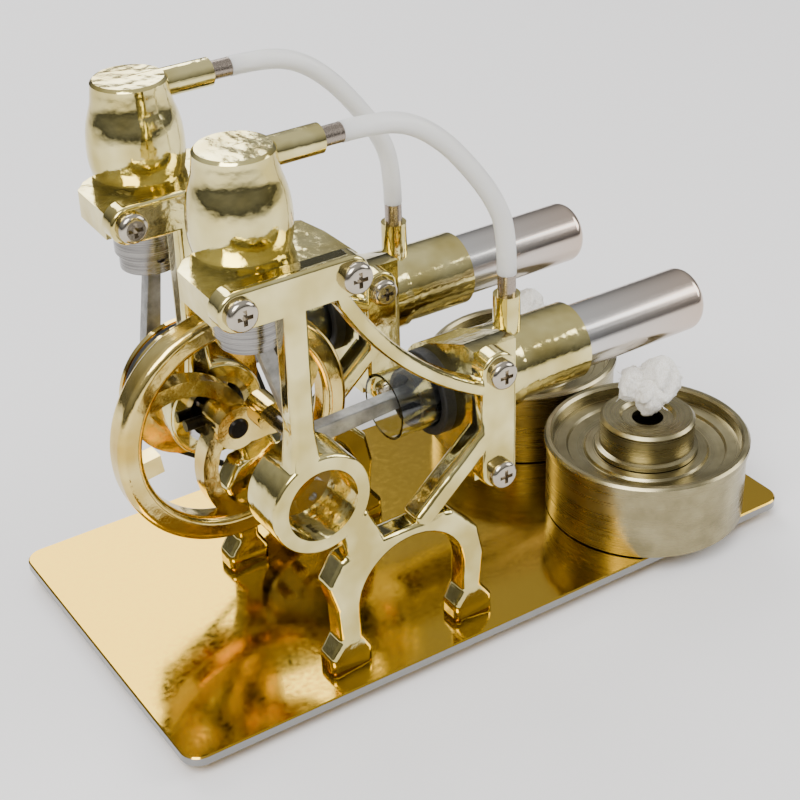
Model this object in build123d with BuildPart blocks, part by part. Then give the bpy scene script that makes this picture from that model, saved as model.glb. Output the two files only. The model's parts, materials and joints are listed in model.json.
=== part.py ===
"""Two-cylinder bench Stirling engine with a generator and two spirit lamps.

Frame: origin at the middle of the base plate, at the undersides of the feet;
+X towards the hot caps, +Y towards the rear engine unit, +Z up. Millimetres.

Two equal engine units stand one behind the other and share one crank shaft.
Places in a unit are given from its datum: the crank axis (x, z) and the front
face of its cast frame (y).
"""
import os
from math import atan2, cos, degrees, hypot, pi, radians, sin, sqrt, tan

from build123d import *

os.makedirs("parts", exist_ok=True)

# ------------------------------------------------------------------ driving sizes
PLATE_LENGTH = 150.0
PLATE_DEPTH = 80.0
PLATE_THICKNESS = 2.0
PLATE_CORNER = 4.0
PAD_HEIGHT = 3.0
PAD_RADIUS = 5.0
PAD_INSET = 9.0

UNIT_PITCH = 42.0
SHAFT_FROM_PLATE_END = 35.2
SHAFT_ABOVE_PLATE = 40.75
FACE_FROM_PLATE_EDGE = 6.0

RUNNING_GAP = 0.05
SEAT_GAP = 0.05
BODY_GAP = 0.4

# cast frame
RIB_DEPTH = 5.6
RIB_ROUNDING = 1.5
ARM_DEPTH = 4.4
ARM_ROUNDING = 1.2
BAR_ROUNDING = 0.7
BAR_DEPTH = 4.0
RING_WALL = 3.0
RING_LENGTH = 10.0
COLUMN_X = -2.6
COLUMN_WIDTH = 4.6
ARM_WIDTH = 3.0
DIAGONAL_WIDTH = 4.2
TOP_BAR = ((-17.8, 12.4), (41.0, 48.7))
FLANGE_BAR = ((36.5, 44.2), (-11.7, 18.8))
ARCH_CENTRE = (19.4, -27.9)

# crank train
SHAFT_RADIUS = 3.0
SHAFT_NOSE_RADIUS = 2.3
BEARING_RADIUS = 7.5
BEARING_WIDTH = 5.0
RACE_WALL = 1.3
BALL_COUNT = 7
CRANK_THROW = 7.0
CRANK_ANGLE = 10.0
CRANK_PIN_RADIUS = 1.65

# flywheel
WHEEL_RADIUS = 25.7
WHEEL_INNER_RADIUS = 20.5
RIM_WIDTH = 6.0
WHEEL_TO_REAR_FACE = 3.0
HUB_RADIUS = 4.7
SPOKE_WIDTH = 3.4
SPOKE_DEPTH = 4.0

# rear crank disc and belt drive
DISC_RADIUS = 15.0
DISC_THICKNESS = 4.0
BELT_RADIUS = 0.7
PULLEY_RADIUS = 4.0
MOTOR_RADIUS = 12.1
MOTOR_LENGTH = 12.0
MOTOR_SHAFT_RADIUS = 1.0

# cylinders
CYLINDER_Y = 19.0
POWER_AXIS_X = -2.8
HOT_AXIS_Z = 2.8
ROD_THICKNESS = 3.0
ROD_PLANE_GAP = 0.4
POWER_ROD_LENGTH = 31.5
HOT_ROD_LENGTH = 28.0
POWER_PISTON_RADIUS = 5.95
LINER_WALL = 0.7
LINER_BOTTOM = 30.0
LINER_TOP = 58.0
HOT_PISTON_RADIUS = 6.3
GLASS_WALL = 0.6
GLASS_OPEN_END = 25.6
GLASS_INNER_END = 52.0
WRIST_PIN_RADIUS = 1.2

# hot side
BLOCK_X = (37.0, 47.0)
BLOCK_WALL = 1.0
SLEEVE_END = 71.7
SLEEVE_WALL = 1.4
CAP_TO_PISTON = 0.2
CAP_START = 60.0
CAP_END = 105.0
CAP_WALL = 0.5
SEAL_WALL = 2.05
SEAL_WIDTH = 5.0
SEAL_SEAT = 2.5

# power head
HEAD_TOP = 65.9
HEAD_CAVITY_TOP = 64.0
BLOCK_TOP = 47.0
BLOCK_BOTTOM = 41.5

# air tube
TUBE_RADIUS = 2.0
TUBE_BORE = 1.2
NIPPLE_RADIUS = 2.85
FERRULE_RADIUS = 1.9
FERRULE_LENGTH = 4.5
SPIGOT_RADIUS = 1.5
SPIGOT_DEPTH = 3.0
BARB_RADIUS = 1.15
BARB_LENGTH = 3.5
AIR_HOLE = 0.6
HEAD_PORT = (14.2, 63.1)
HOUSING_PORT = (55.8, 19.0)

# screws
SCREW_RADIUS = 1.5
SCREW_HOLE_GAP = 0.15
SCREW_HEAD_RADIUS = 3.0
SCREW_HEAD_HEIGHT = 2.1
SCREW_GRIP = 6.0
HEAD_SCREWS = ((-13.8, 44.8), (9.0, 44.9))
FLANGE_SCREWS = ((40.4, 14.5), (40.4, -8.3))
FOOT_SCREW_RADIUS = 1.25
FOOT_SCREW_HEAD_RADIUS = 2.6
FOOT_SCREW_HEAD_HEIGHT = 1.6
FOOT_SCREW_GRIP = 6.0
FOOT_SCREWS_X = (4.4, 33.9)
SET_SCREW_RADIUS = 1.2

# spirit lamp
LAMP_X = 88.4
LAMP_FROM_MIDDLE = 22.9
LAMP_RADIUS = 22.0
LAMP_RIM_RADIUS = 22.6
LAMP_HEIGHT = 18.0
LAMP_WALL = 0.8
DISH_DEPTH = 4.0
NECK_RADIUS = 9.4
LID_RADIUS = 10.4
LID_TOP = 22.8
WICK_RADIUS = 3.4
WICK_TOP = 35.0
LAMP_LIFT = 0.3

# ------------------------------------------------------------------ derived places
PLATE_BOTTOM = PAD_HEIGHT
PLATE_TOP = PLATE_BOTTOM + PLATE_THICKNESS
SHAFT_X = SHAFT_FROM_PLATE_END - PLATE_LENGTH / 2
SHAFT_Z = PLATE_TOP + SHAFT_ABOVE_PLATE
FRONT_FACE = FACE_FROM_PLATE_EDGE - PLATE_DEPTH / 2
REAR_FACE = FRONT_FACE + UNIT_PITCH
UNITS = {"front": FRONT_FACE, "rear": REAR_FACE}
CRANK_ANGLES = {"front": CRANK_ANGLE, "rear": CRANK_ANGLE + 180}

POWER_ROD_FRONT = CYLINDER_Y - ROD_PLANE_GAP / 2 - ROD_THICKNESS
HOT_ROD_FRONT = CYLINDER_Y + ROD_PLANE_GAP / 2
HOT_ROD_BACK = HOT_ROD_FRONT + ROD_THICKNESS

WHEEL_FRONT = REAR_FACE - WHEEL_TO_REAR_FACE - RIM_WIDTH
HUB_BACK = REAR_FACE - BODY_GAP
RING_BACK = REAR_FACE + RING_LENGTH
DISC_FRONT = RING_BACK + BODY_GAP
DISC_BACK = DISC_FRONT + DISC_THICKNESS
BELT_Y = (DISC_FRONT + DISC_BACK) / 2
BELT_DISC_RADIUS = DISC_RADIUS - BELT_RADIUS
BELT_PULLEY_RADIUS = PULLEY_RADIUS - BELT_RADIUS

LINER_RADIUS = POWER_PISTON_RADIUS + RUNNING_GAP + LINER_WALL
GLASS_RADIUS = HOT_PISTON_RADIUS + RUNNING_GAP + GLASS_WALL
CAP_RADIUS = HOT_PISTON_RADIUS + CAP_TO_PISTON + CAP_WALL
HOUSING_BORE = GLASS_RADIUS + SEAT_GAP
SEAL_RADIUS = GLASS_RADIUS + SEAL_WALL
BLOCK_BOSS_RADIUS = SEAL_RADIUS + BLOCK_WALL
RING_RADIUS = BEARING_RADIUS + RING_WALL
BALL_RADIUS = (BEARING_RADIUS - SHAFT_RADIUS) / 2 - RACE_WALL - RUNNING_GAP
SCREW_HOLE_RADIUS = SCREW_RADIUS + SCREW_HOLE_GAP
SET_SCREW_Y = HUB_BACK - 1.6
ARCH_RADIUS = MOTOR_RADIUS + 0.2


def front_plane(y):
    """Upright plane at depth y, seen from the front: local x = X, local y = Z."""
    return Plane(origin=(SHAFT_X, y, SHAFT_Z), x_dir=(1, 0, 0), z_dir=(0, -1, 0))


def side_plane(x, face):
    """Upright plane across X at unit place x: local x = depth, local y = Z."""
    return Plane(origin=(SHAFT_X + x, face, SHAFT_Z), x_dir=(0, 1, 0), z_dir=(1, 0, 0))


def level_plane(z, x=0.0, y=0.0):
    """Level plane at height z above the crank axis, centred over (x, y)."""
    return Plane(origin=(SHAFT_X + x, y, SHAFT_Z + z))


def save(piece, name):
    """Label a finished piece and write its STEP file."""
    piece.part.label = name
    export_step(piece.part, f"parts/{name}.step")


def crank_pin_place(unit):
    """Crank pin centre (x, z) from the crank axis, at rest."""
    angle = radians(CRANK_ANGLES[unit])
    return (CRANK_THROW * cos(angle), CRANK_THROW * sin(angle))


def power_wrist_height(unit):
    """Height of the power wrist pin over the crank axis, at rest."""
    pin_x, pin_z = crank_pin_place(unit)
    return pin_z + sqrt(POWER_ROD_LENGTH**2 - (pin_x - POWER_AXIS_X) ** 2)


def hot_wrist_place(unit):
    """Distance of the hot wrist pin from the crank axis along X, at rest."""
    pin_x, pin_z = crank_pin_place(unit)
    return pin_x + sqrt(HOT_ROD_LENGTH**2 - (HOT_AXIS_Z - pin_z) ** 2)


# ------------------------------------------------------------------ base
def make_plate():
    """Sheet base with rounded corners and clearance holes for the frame screws."""
    with BuildPart() as plate:
        with BuildSketch(Plane.XY.offset(PLATE_BOTTOM)):
            RectangleRounded(PLATE_LENGTH, PLATE_DEPTH, PLATE_CORNER)
        extrude(amount=PLATE_THICKNESS)
        with BuildSketch(Plane.XY.offset(PLATE_BOTTOM)):
            with Locations(*foot_screw_places()):
                Circle(FOOT_SCREW_RADIUS + 0.15)
        extrude(amount=PLATE_THICKNESS, mode=Mode.SUBTRACT)
        chamfer(plate.faces().sort_by(Axis.Z)[-1].outer_wire().edges(), 0.3)
    return plate


def make_pads():
    """Four round rubber pads under the corners of the plate."""
    with BuildPart() as pads:
        with BuildSketch():
            with GridLocations(PLATE_LENGTH - 2 * PAD_INSET, PLATE_DEPTH - 2 * PAD_INSET, 2, 2):
                Circle(PAD_RADIUS)
        extrude(amount=PAD_HEIGHT, taper=6)
    return pads


def foot_screw_places():
    """Plan positions of the four screws that hold the two frames."""
    return [(SHAFT_X + x, face + RIB_DEPTH / 2) for face in UNITS.values() for x in FOOT_SCREWS_X]


def make_foot_screws():
    """Screws from under the plate into the feet of the frames."""
    head_bottom = PLATE_BOTTOM - FOOT_SCREW_HEAD_HEIGHT
    with BuildPart() as screws:
        with BuildSketch(Plane.XY.offset(head_bottom)):
            with Locations(*foot_screw_places()):
                Circle(FOOT_SCREW_HEAD_RADIUS)
        extrude(amount=FOOT_SCREW_HEAD_HEIGHT)
        with BuildSketch(Plane.XY.offset(PLATE_BOTTOM)):
            with Locations(*foot_screw_places()):
                Circle(FOOT_SCREW_RADIUS)
        extrude(amount=PLATE_THICKNESS + FOOT_SCREW_GRIP)
    return screws


# ------------------------------------------------------------------ frame
def make_rib(face, outline):
    """Straight rib of the frame with all its edges rounded, from its front outline."""
    with BuildPart() as rib:
        with BuildSketch(front_plane(face)):
            with BuildLine():
                Polyline(*outline, close=True)
            make_face()
        extrude(amount=-RIB_DEPTH)
        fillet(rib.edges(), RIB_ROUNDING)
    return rib


def make_arms(face):
    """Curved upper arm and straight diagonal arm, with rounded edges."""
    with BuildPart() as arms:
        with BuildSketch(front_plane(face)):
            with BuildLine() as upper_arm:
                ThreePointArc((5.4, 43.5), (18.6, 24.9), (38.5, 11.0))
            trace(upper_arm.edges(), line_width=ARM_WIDTH)
        extrude(amount=-ARM_DEPTH)
        with BuildSketch(front_plane(face)):
            with BuildLine() as diagonal_arm:
                Line((39.0, 1.7), (21.5, -13.8))
            trace(diagonal_arm.edges(), line_width=DIAGONAL_WIDTH)
        extrude(amount=-RIB_DEPTH)
        fillet(arms.edges(), ARM_ROUNDING)
    return arms


def make_arch(face):
    """Arch round the motor seat, with two legs on flared feet and rounded edges."""
    foot = -SHAFT_ABOVE_PLATE
    centre_x, centre_z = ARCH_CENTRE
    outline = [
        (-0.2, foot), (-0.2, foot + 3.2), (2.3, foot + 7.0), (2.0, -26.5), (0.2, -20.0),
        (3.4, -14.8), (9.0, -13.2), (22.5, -12.9), (29.0, -12.9), (35.2, -19.4),
        (36.6, -26.0), (35.8, foot + 7.0), (38.5, foot + 3.2), (38.5, foot),
    ]
    leg_gap = [
        (centre_x - ARCH_RADIUS, centre_z), (centre_x + ARCH_RADIUS, centre_z),
        (31.4, foot + 6.8), (29.4, foot + 3.2), (29.4, foot - 1), (9.3, foot - 1),
        (9.3, foot + 3.2), (7.3, foot + 6.8),
    ]
    with BuildPart() as arch:
        with BuildSketch(front_plane(face)):
            with BuildLine():
                Polyline(*outline, close=True)
            make_face()
            with Locations(ARCH_CENTRE):
                Circle(ARCH_RADIUS, mode=Mode.SUBTRACT)
            with BuildLine():
                Polyline(*leg_gap, close=True)
            make_face(mode=Mode.SUBTRACT)
        extrude(amount=-RIB_DEPTH)
        fillet(above_plate(arch.edges().filter_by(Axis.Y)), RIB_ROUNDING)
        fillet(above_plate(arch.faces().sort_by(Axis.Y)[0].edges()), ARM_ROUNDING)
        fillet(above_plate(arch.faces().sort_by(Axis.Y)[-1].edges()), ARM_ROUNDING)
    return arch


def above_plate(edges):
    """Those of the edges that don't lie on the base plate."""
    return edges.filter_by(lambda edge: edge.center().Z > PLATE_TOP + 0.05)


def make_frame(face):
    """Cast frame: ring, column, two arms, top and flange bars, arch and two feet."""
    half = COLUMN_WIDTH / 2
    column_outline = [
        (COLUMN_X - half - 1.2, 6.0), (COLUMN_X - half, 16.5), (COLUMN_X - half, 44.0),
        (COLUMN_X + half, 44.0), (COLUMN_X + half, 16.5), (COLUMN_X + half + 1.2, 6.0),
    ]
    strut_outline = [(3.0, -5.0), (5.4, -16.0), (14.6, -16.0), (9.8, -5.0)]
    rim = 0.8
    corner = RING_RADIUS - rim * (1 - sqrt(0.5))
    column = make_rib(face, column_outline)
    strut = make_rib(face, strut_outline)
    arms = make_arms(face)
    arch = make_arch(face)
    with BuildPart() as frame:
        with BuildSketch(front_plane(face)):
            add_bar(TOP_BAR)
            add_bar(FLANGE_BAR)
        extrude(amount=-BAR_DEPTH)
        fillet(frame.faces().sort_by(Axis.Y)[:2].edges(), BAR_ROUNDING)
        with BuildSketch(Plane(origin=(SHAFT_X, face, SHAFT_Z), x_dir=(1, 0, 0), z_dir=(0, 0, 1))):
            with BuildLine():
                Polyline((RING_RADIUS, rim), (RING_RADIUS, RING_LENGTH), (0, RING_LENGTH), (0, 0),
                         (RING_RADIUS - rim, 0))
                ThreePointArc((RING_RADIUS - rim, 0), (corner, rim * (1 - sqrt(0.5))), (RING_RADIUS, rim))
            make_face()
        revolve(axis=Axis((SHAFT_X, 0, SHAFT_Z), (0, 1, 0)))
        add([column.part, strut.part, arms.part, arch.part])
        with BuildSketch(front_plane(face)):
            with Locations(ARCH_CENTRE):
                Circle(ARCH_RADIUS)
        extrude(amount=-RIB_DEPTH, mode=Mode.SUBTRACT)
        with BuildSketch(front_plane(face)):
            Circle(BEARING_RADIUS)
        extrude(amount=-RING_LENGTH, mode=Mode.SUBTRACT)
        with BuildSketch(front_plane(face)):
            with Locations(*HEAD_SCREWS, *FLANGE_SCREWS):
                Circle(SCREW_HOLE_RADIUS)
        extrude(amount=-BAR_DEPTH, mode=Mode.SUBTRACT)
        with BuildSketch(front_plane(face + BAR_DEPTH)):
            add_bar(TOP_BAR)
            add_bar(FLANGE_BAR)
        extrude(amount=BAR_DEPTH - RIB_DEPTH, mode=Mode.SUBTRACT)
        with BuildSketch(level_plane(-SHAFT_ABOVE_PLATE, 0, face + RIB_DEPTH / 2)):
            with Locations(*[(x, 0) for x in FOOT_SCREWS_X]):
                Circle(FOOT_SCREW_RADIUS)
        extrude(amount=FOOT_SCREW_GRIP, mode=Mode.SUBTRACT)
    return frame


def add_bar(span):
    """Round-ended bar in the current sketch, from its x and z spans."""
    (low_x, high_x), (low_z, high_z) = span
    width = high_x - low_x
    height = high_z - low_z
    with Locations(((low_x + high_x) / 2, (low_z + high_z) / 2)):
        RectangleRounded(width, height, min(width, height) / 2 - 0.05)


# ------------------------------------------------------------------ power side
def make_power_head(face):
    """Head block bolted behind the top bar, with its bell and the air nipple."""
    axis_y = face + CYLINDER_Y
    over_liner = [
        (2.1, 45.0), (2.75, 49.0), (2.95, 52.0), (2.8, 55.0), (2.2, 58.2), (1.3, 61.2), (0.95, 63.6),
        (0.8, HEAD_TOP - 0.6), (0.2, HEAD_TOP),
    ]
    bell = [(POWER_AXIS_X + LINER_RADIUS + extra, z) for extra, z in over_liner]
    bell_foot = (bell[0][0], BLOCK_BOTTOM)
    axis_foot = (POWER_AXIS_X, BLOCK_BOTTOM)
    front = BAR_DEPTH
    block = [
        (-17.3, front), (12.2, front), (12.0, 15.0), (10.9, 21.5), (7.0, 23.5), (-8.0, 23.5),
        (-14.4, 19.6), (-16.9, 16.5),
    ]
    with BuildPart() as head:
        with BuildSketch(level_plane(BLOCK_BOTTOM, 0, face)):
            with BuildLine():
                Polyline(*block, close=True)
            make_face()
        extrude(amount=BLOCK_TOP - BLOCK_BOTTOM)
        fillet(head.edges().filter_by(Axis.Z).group_by(Axis.Y)[-1], 2.0)
        with BuildSketch(front_plane(axis_y)):
            with BuildLine():
                Polyline(axis_foot, bell_foot, bell[0])
                Spline(*bell[:-1], tangents=[(0, 1), (0, 1)])
                Polyline(*bell[-2:], (POWER_AXIS_X, HEAD_TOP), axis_foot)
            make_face()
        revolve(axis=Axis((SHAFT_X + POWER_AXIS_X, axis_y, 0), (0, 0, 1)))
        with BuildSketch(side_plane(POWER_AXIS_X, face)):
            with Locations((CYLINDER_Y, HEAD_PORT[1])):
                Circle(NIPPLE_RADIUS)
        extrude(amount=HEAD_PORT[0] - POWER_AXIS_X)
        with BuildSketch(level_plane(BLOCK_BOTTOM, POWER_AXIS_X, axis_y)):
            Circle(LINER_RADIUS)
        extrude(amount=LINER_TOP - BLOCK_BOTTOM, mode=Mode.SUBTRACT)
        with BuildSketch(level_plane(LINER_TOP, POWER_AXIS_X, axis_y)):
            Circle(LINER_RADIUS - LINER_WALL)
        extrude(amount=HEAD_CAVITY_TOP - LINER_TOP, mode=Mode.SUBTRACT)
        with BuildSketch(side_plane(POWER_AXIS_X, face)):
            with Locations((CYLINDER_Y, HEAD_PORT[1])):
                Circle(AIR_HOLE)
        extrude(amount=HEAD_PORT[0] - POWER_AXIS_X, mode=Mode.SUBTRACT)
        with BuildSketch(side_plane(HEAD_PORT[0], face)):
            with Locations((CYLINDER_Y, HEAD_PORT[1])):
                Circle(SPIGOT_RADIUS)
        extrude(amount=-SPIGOT_DEPTH, mode=Mode.SUBTRACT)
        with BuildSketch(front_plane(face + BAR_DEPTH)):
            with Locations(*HEAD_SCREWS):
                Circle(SCREW_RADIUS)
        extrude(amount=-SCREW_GRIP, mode=Mode.SUBTRACT)
    return head


def make_liner(face):
    """Thin cylinder liner, open at both ends, pressed up into the head."""
    with BuildPart() as liner:
        with BuildSketch(level_plane(LINER_BOTTOM, POWER_AXIS_X, face + CYLINDER_Y)):
            Circle(LINER_RADIUS)
            Circle(LINER_RADIUS - LINER_WALL, mode=Mode.SUBTRACT)
        extrude(amount=LINER_TOP - LINER_BOTTOM)
    return liner


def make_power_piston(unit, face):
    """Trunk piston open at the bottom, with a cross hole for its wrist pin."""
    wrist = power_wrist_height(unit)
    axis_y = face + CYLINDER_Y
    with BuildPart() as piston:
        with BuildSketch(level_plane(wrist - 3.5, POWER_AXIS_X, axis_y)):
            Circle(POWER_PISTON_RADIUS)
        extrude(amount=14.0)
        chamfer(piston.faces().sort_by(Axis.Z)[-1].edges(), 0.4)
        with BuildSketch(level_plane(wrist - 3.5, POWER_AXIS_X, axis_y)):
            Circle(POWER_PISTON_RADIUS - 1.1)
        extrude(amount=10.5, mode=Mode.SUBTRACT)
        with BuildSketch(front_plane(axis_y)):
            with Locations((POWER_AXIS_X, wrist)):
                Circle(WRIST_PIN_RADIUS)
        extrude(amount=POWER_PISTON_RADIUS, both=True, mode=Mode.SUBTRACT)
    return piston


def make_power_wrist_pin(unit, face):
    """Cross pin through the power piston."""
    with BuildPart() as pin:
        with BuildSketch(front_plane(face + CYLINDER_Y)):
            with Locations((POWER_AXIS_X, power_wrist_height(unit))):
                Circle(WRIST_PIN_RADIUS)
        extrude(amount=POWER_PISTON_RADIUS - 0.5, both=True)
    return pin


def make_rod(big_end, small_end, front):
    """Flat cast rod: two eyes joined by a slimmer straight shank."""
    big_x, big_z = big_end
    small_x, small_z = small_end
    length = hypot(small_x - big_x, small_z - big_z)
    along = ((small_x - big_x) / length, (small_z - big_z) / length)
    across = (-along[1], along[0])
    shank = [
        (big_x + across[0] * 1.9 + along[0] * 2, big_z + across[1] * 1.9 + along[1] * 2),
        (small_x + across[0] * 1.4, small_z + across[1] * 1.4),
        (small_x - across[0] * 1.4, small_z - across[1] * 1.4),
        (big_x - across[0] * 1.9 + along[0] * 2, big_z - across[1] * 1.9 + along[1] * 2),
    ]
    with BuildPart() as rod:
        with BuildSketch(front_plane(front)):
            with Locations(big_end):
                Circle(CRANK_PIN_RADIUS + 1.9)
            with Locations(small_end):
                Circle(WRIST_PIN_RADIUS + 1.4)
            with BuildLine():
                Polyline(*shank, close=True)
            make_face()
            with Locations(big_end):
                Circle(CRANK_PIN_RADIUS, mode=Mode.SUBTRACT)
            with Locations(small_end):
                Circle(WRIST_PIN_RADIUS + RUNNING_GAP, mode=Mode.SUBTRACT)
        extrude(amount=-ROD_THICKNESS)
    return rod


def make_rod_bush(big_end, front):
    """Crank pin piece that fills a rod's big eye and stays with the rod."""
    with BuildPart() as bush:
        with BuildSketch(front_plane(front)):
            with Locations(big_end):
                Circle(CRANK_PIN_RADIUS)
        extrude(amount=-ROD_THICKNESS)
    return bush


# ------------------------------------------------------------------ hot side
def make_hot_housing(face):
    """Cast housing behind the flange bar: block, barrel, cap sleeve and nipple."""
    flange_low, flange_high = FLANGE_BAR[1]
    port_x, port_z = HOUSING_PORT
    with BuildPart() as housing:
        with BuildSketch(side_plane(BLOCK_X[0], face)):
            with Locations((CYLINDER_Y, HOT_AXIS_Z)):
                Circle(BLOCK_BOSS_RADIUS)
            with Locations((BAR_DEPTH + 2.0, (flange_low + flange_high) / 2)):
                Rectangle(4.0, flange_high - flange_low - 1.0)
            make_hull()
        extrude(amount=BLOCK_X[1] - BLOCK_X[0])
        with BuildSketch(side_plane(BLOCK_X[1], face)):
            with Locations((CYLINDER_Y, HOT_AXIS_Z)):
                Circle(HOUSING_BORE + SLEEVE_WALL + 1.0)
        extrude(amount=8.0, taper=3)
        with BuildSketch(side_plane(BLOCK_X[1], face)):
            with Locations((CYLINDER_Y, HOT_AXIS_Z)):
                Circle(HOUSING_BORE + SLEEVE_WALL)
        extrude(amount=SLEEVE_END - BLOCK_X[1])
        with BuildSketch(level_plane(HOT_AXIS_Z, port_x, face + CYLINDER_Y)):
            Circle(NIPPLE_RADIUS)
        extrude(amount=port_z - HOT_AXIS_Z)
        with BuildSketch(side_plane(BLOCK_X[0], face)):
            with Locations((CYLINDER_Y, HOT_AXIS_Z)):
                Circle(HOUSING_BORE)
        extrude(amount=SLEEVE_END - BLOCK_X[0], mode=Mode.SUBTRACT)
        with BuildSketch(side_plane(BLOCK_X[0], face)):
            with Locations((CYLINDER_Y, HOT_AXIS_Z)):
                Circle(SEAL_RADIUS)
        extrude(amount=SEAL_SEAT, mode=Mode.SUBTRACT)
        with BuildSketch(level_plane(HOT_AXIS_Z, port_x, face + CYLINDER_Y)):
            Circle(AIR_HOLE)
        extrude(amount=port_z - HOT_AXIS_Z, mode=Mode.SUBTRACT)
        with BuildSketch(level_plane(port_z, port_x, face + CYLINDER_Y)):
            Circle(SPIGOT_RADIUS)
        extrude(amount=-SPIGOT_DEPTH, mode=Mode.SUBTRACT)
        with BuildSketch(front_plane(face + BAR_DEPTH)):
            with Locations(*FLANGE_SCREWS):
                Circle(SCREW_RADIUS)
        extrude(amount=-SCREW_GRIP, mode=Mode.SUBTRACT)
    return housing


def make_hot_cap(face):
    """Thin stainless cap with a rounded closed end, seated in the sleeve."""
    with BuildPart() as cap:
        with BuildSketch(side_plane(CAP_START, face)):
            with Locations((CYLINDER_Y, HOT_AXIS_Z)):
                Circle(CAP_RADIUS)
        extrude(amount=CAP_END - CAP_START)
        fillet(cap.faces().sort_by(Axis.X)[-1].edges(), 2.4)
        with BuildSketch(side_plane(CAP_START, face)):
            with Locations((CYLINDER_Y, HOT_AXIS_Z)):
                Circle(CAP_RADIUS - CAP_WALL)
        extrude(amount=CAP_END - CAP_START - 2.4, mode=Mode.SUBTRACT)
    return cap


def make_glass_tube(face):
    """Glass cylinder for the hot piston, open towards the crank."""
    with BuildPart() as glass:
        with BuildSketch(side_plane(GLASS_OPEN_END, face)):
            with Locations((CYLINDER_Y, HOT_AXIS_Z)):
                Circle(GLASS_RADIUS)
                Circle(GLASS_RADIUS - GLASS_WALL, mode=Mode.SUBTRACT)
        extrude(amount=GLASS_INNER_END - GLASS_OPEN_END)
    return glass


def make_seal_ring(face):
    """Rubber ring round the glass, half in the block's mouth."""
    with BuildPart() as seal:
        with BuildSketch(side_plane(BLOCK_X[0] + SEAL_SEAT, face)):
            with Locations((CYLINDER_Y, HOT_AXIS_Z)):
                Circle(SEAL_RADIUS)
                Circle(GLASS_RADIUS, mode=Mode.SUBTRACT)
        extrude(amount=-SEAL_WIDTH)
        fillet(seal.faces().sort_by(Axis.X)[0].edges(), 0.5)
    return seal


def make_hot_piston(unit, face):
    """Long graphite piston, hollow towards the crank."""
    wrist = hot_wrist_place(unit)
    with BuildPart() as piston:
        with BuildSketch(side_plane(wrist - 4.0, face)):
            with Locations((CYLINDER_Y, HOT_AXIS_Z)):
                Circle(HOT_PISTON_RADIUS)
        extrude(amount=26.0)
        chamfer(piston.faces().sort_by(Axis.X)[-1].edges(), 0.4)
        with BuildSketch(side_plane(wrist - 4.0, face)):
            with Locations((CYLINDER_Y, HOT_AXIS_Z)):
                Circle(HOT_PISTON_RADIUS - 1.1)
        extrude(amount=11.0, mode=Mode.SUBTRACT)
        with BuildSketch(front_plane(face + CYLINDER_Y)):
            with Locations((wrist, HOT_AXIS_Z)):
                Circle(WRIST_PIN_RADIUS)
        extrude(amount=HOT_PISTON_RADIUS, both=True, mode=Mode.SUBTRACT)
    return piston


def make_hot_wrist_pin(unit, face):
    """Cross pin through the hot piston."""
    with BuildPart() as pin:
        with BuildSketch(front_plane(face + CYLINDER_Y)):
            with Locations((hot_wrist_place(unit), HOT_AXIS_Z)):
                Circle(WRIST_PIN_RADIUS)
        extrude(amount=HOT_PISTON_RADIUS - 0.5, both=True)
    return pin


# ------------------------------------------------------------------ air line
def make_barbs(face):
    """Two ferruled tube barbs, one level in the head and one upright in the housing."""
    head_x, head_z = HEAD_PORT
    port_x, port_z = HOUSING_PORT
    head_end = side_plane(head_x, face)
    head_end.origin = (SHAFT_X + head_x, face + CYLINDER_Y, SHAFT_Z + head_z)
    housing_end = level_plane(port_z, port_x, face + CYLINDER_Y)
    with BuildPart() as barbs:
        for end in (head_end, housing_end):
            for start, length, radius in (
                (-SPIGOT_DEPTH, SPIGOT_DEPTH, SPIGOT_RADIUS),
                (0.0, FERRULE_LENGTH, FERRULE_RADIUS),
                (FERRULE_LENGTH, BARB_LENGTH, BARB_RADIUS),
            ):
                with BuildSketch(end.offset(start)):
                    Circle(radius)
                extrude(amount=length)
            with BuildSketch(end.offset(-SPIGOT_DEPTH)):
                Circle(AIR_HOLE)
            extrude(amount=SPIGOT_DEPTH + FERRULE_LENGTH + BARB_LENGTH, mode=Mode.SUBTRACT)
    return barbs


def air_tube_route():
    """Route of the silicone tube, in unit places (x, z), from head to housing."""
    start = (HEAD_PORT[0] + FERRULE_LENGTH, HEAD_PORT[1])
    end = (HOUSING_PORT[0], HOUSING_PORT[1] + FERRULE_LENGTH)
    return [
        start,
        (26.6, HEAD_PORT[1]),
        (34.3, 60.9),
        (41.2, 55.6),
        (47.2, 48.6),
        (52.4, 41.2),
        (HOUSING_PORT[0], 33.2),
        end,
    ]


def make_air_tube(face):
    """Hollow silicone tube from barb to barb: straight runs joined by tangent arcs."""
    route = air_tube_route()
    radii = []
    for before, corner, after in zip(route, route[1:], route[2:]):
        run_in = hypot(corner[0] - before[0], corner[1] - before[1])
        run_out = hypot(after[0] - corner[0], after[1] - corner[1])
        heading_in = atan2(corner[1] - before[1], corner[0] - before[0])
        heading_out = atan2(after[1] - corner[1], after[0] - corner[0])
        half_turn = abs(heading_out - heading_in) / 2
        radii.append(0.45 * min(run_in, run_out) / tan(half_turn))
    with BuildPart() as tube:
        with BuildLine(front_plane(face + CYLINDER_Y)) as path:
            FilletPolyline(*route, radius=radii)
        centre_line = path.wire()
        start = Plane(origin=centre_line @ 0, z_dir=centre_line % 0)
        with BuildSketch(start):
            Circle(TUBE_RADIUS)
            Circle(TUBE_BORE, mode=Mode.SUBTRACT)
        sweep(path=centre_line)
    section = pi * (TUBE_RADIUS**2 - TUBE_BORE**2)
    print("air tube: length", round(centre_line.length, 2), "radii", [round(r, 1) for r in radii],
          "volume ratio", round(tube.part.volume / (section * centre_line.length), 4))
    return tube


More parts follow.
